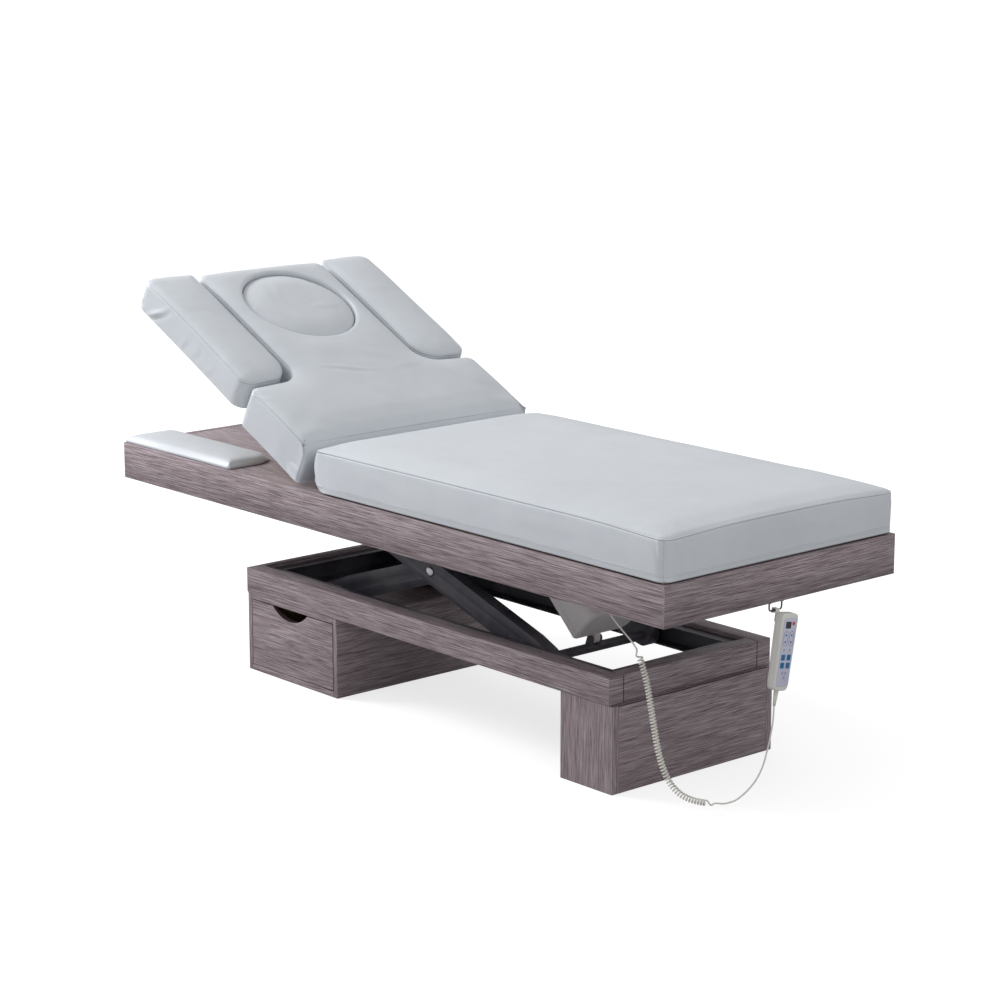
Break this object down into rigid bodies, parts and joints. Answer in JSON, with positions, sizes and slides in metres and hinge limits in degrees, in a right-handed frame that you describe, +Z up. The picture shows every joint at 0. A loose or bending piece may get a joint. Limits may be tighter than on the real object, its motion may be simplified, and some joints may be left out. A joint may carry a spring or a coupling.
{
  "type": "spa bed",
  "caption": "Padded spa bed with a tilting backrest on a scissor lift, carried by a wooden ring on a drawer cabinet and a pedestal.",
  "frame": {"origin": "on the floor under the middle of the bed's own box, measured without the free cord", "axes": "+X along the bed towards the foot end, -Y the side with the drawer, +Z up"},
  "size_m": [1.9536, 0.7, 0.951],
  "materials": {
    "wood": "grey-brown wood grain laminate, satin",
    "plywood": "plain plywood",
    "vinyl": "light grey upholstery vinyl, satin",
    "steel": "black powder coat",
    "chrome": "bright plated steel",
    "motor": "light warm grey moulded housing",
    "roller": "black, matt",
    "handset": "off-white moulded plastic",
    "keypad": "pale lavender membrane",
    "cord": "pale grey cord jacket"
  },
  "bodies": {
    "base": {"ring_rail_near": "wood", "ring_rail_far": "wood", "ring_rail_head": "wood", "ring_rail_foot": "wood", "base_frame": "steel", "cabinet_side_head": "wood", "cabinet_side_foot": "wood", "cabinet_bottom": "wood", "cabinet_top": "wood", "cabinet_back": "wood", "pedestal_near": "wood", "pedestal_far": "wood", "pedestal_foot": "wood", "pedestal_head": "wood"},
    "drawer": {"drawer_front": "wood", "drawer_side_head": "plywood", "drawer_side_foot": "plywood", "drawer_back": "plywood", "drawer_floor": "plywood"},
    "inner_arms": {"inner_arms": "steel"},
    "outer_arms": {"outer_arms": "steel", "cross_bolt_near": "chrome", "cross_bolt_far": "chrome"},
    "lower_roller_near": {"lower_roller_near": "roller"},
    "lower_roller_far": {"lower_roller_far": "roller"},
    "upper_roller_near": {"upper_roller_near": "roller"},
    "upper_roller_far": {"upper_roller_far": "roller"},
    "lift_motor": {"lift_motor": "motor", "lift_tube": "chrome"},
    "lift_rod": {"lift_rod": "chrome"},
    "platform": {"platform_frame": "steel", "platform_board": "wood", "apron_near": "wood", "apron_far": "wood", "apron_head": "wood", "apron_foot": "wood", "control_box": "roller", "mattress": "vinyl", "mattress_board": "plywood", "arm_pad_near": "vinyl", "arm_pad_far": "vinyl", "back_motor": "motor", "handset_bail": "steel", "handset_shell": "handset", "handset_keypad": "keypad", "handset_clip": "steel", "cord_relief": "cord", "cord_upper": "cord", "cord_curls": "cord", "cord_lower": "cord"},
    "backrest": {"back_frame": "steel", "back_board": "plywood", "back_cushion": "vinyl"},
    "back_rod": {"back_rod": "chrome"},
    "face_plug": {"face_plug": "vinyl"},
    "side_pad_near": {"side_pad_near": "vinyl", "side_pad_carrier_near": "steel"},
    "side_pad_far": {"side_pad_far": "vinyl", "side_pad_carrier_far": "steel"}
  },
  "joints": [
    {"name": "lift", "type": "hinge", "parent": "base", "child": "inner_arms", "pos_m": [-0.38675, 0, 0.2218], "axis": [0, -1, 0], "range_deg": [-5, 14]},
    {"name": "scissor_pivot", "type": "hinge", "parent": "inner_arms", "child": "outer_arms", "pos_m": [0.00271, 0, 0.34834], "axis": [0, -1, 0], "range_deg": [-28, 10]},
    {"name": "platform_level", "type": "hinge", "parent": "outer_arms", "child": "platform", "pos_m": [-0.38675, 0, 0.47489], "axis": [0, -1, 0], "range_deg": [-5, 14]},
    {"name": "lift_motor_swing", "type": "hinge", "parent": "outer_arms", "child": "lift_motor", "pos_m": [0.39958, -0.019, 0.24463], "axis": [0, -1, 0], "range_deg": [-1.4, 0.5]},
    {"name": "lift_rod_swing", "type": "hinge", "parent": "inner_arms", "child": "lift_rod", "pos_m": [0.20879, -0.019, 0.47892], "axis": [0, -1, 0], "range_deg": [-29.4, 10.5]},
    {"name": "lower_roller_near_spin", "type": "hinge", "parent": "outer_arms", "child": "lower_roller_near", "pos_m": [0.39216, -0.177, 0.2218], "axis": [0, 1, 0], "continuous": true},
    {"name": "lower_roller_far_spin", "type": "hinge", "parent": "outer_arms", "child": "lower_roller_far", "pos_m": [0.39216, 0.177, 0.2218], "axis": [0, 1, 0], "continuous": true},
    {"name": "upper_roller_near_spin", "type": "hinge", "parent": "inner_arms", "child": "upper_roller_near", "pos_m": [0.39216, -0.139, 0.47489], "axis": [0, 1, 0], "continuous": true},
    {"name": "upper_roller_far_spin", "type": "hinge", "parent": "inner_arms", "child": "upper_roller_far", "pos_m": [0.39216, 0.139, 0.47489], "axis": [0, 1, 0], "continuous": true},
    {"name": "backrest_tilt", "type": "hinge", "parent": "platform", "child": "backrest", "pos_m": [-0.24435, 0, 0.56398], "axis": [0, 1, 0], "range_deg": [-26.5, 26.5]},
    {"name": "back_rod_swing", "type": "hinge", "parent": "backrest", "child": "back_rod", "pos_m": [-0.23794, 0, 0.45918], "axis": [0, 1, 0], "range_deg": [-26.5, 26.5]},
    {"name": "side_pad_near_slide", "type": "slide", "parent": "backrest", "child": "side_pad_near", "axis": [0, -1, 0], "range_m": [0, 0.13]},
    {"name": "side_pad_far_slide", "type": "slide", "parent": "backrest", "child": "side_pad_far", "axis": [0, 1, 0], "range_m": [0, 0.13]},
    {"name": "face_plug_lift", "type": "slide", "parent": "backrest", "child": "face_plug", "axis": [0.4462, 0, 0.8949], "range_m": [0, 0.13]},
    {"name": "drawer_slide", "type": "slide", "parent": "base", "child": "drawer", "axis": [0, -1, 0], "range_m": [0, 0.32]}
  ],
  "couplings": [
    {"joint": "scissor_pivot", "follows": "lift", "ratio": -2},
    {"joint": "platform_level", "follows": "lift", "ratio": 1},
    {"joint": "lift_motor_swing", "follows": "lift", "ratio": -0.1},
    {"joint": "lift_rod_swing", "follows": "lift", "ratio": -2.1},
    {"joint": "back_rod_swing", "follows": "backrest_tilt", "ratio": -1}
  ]
}
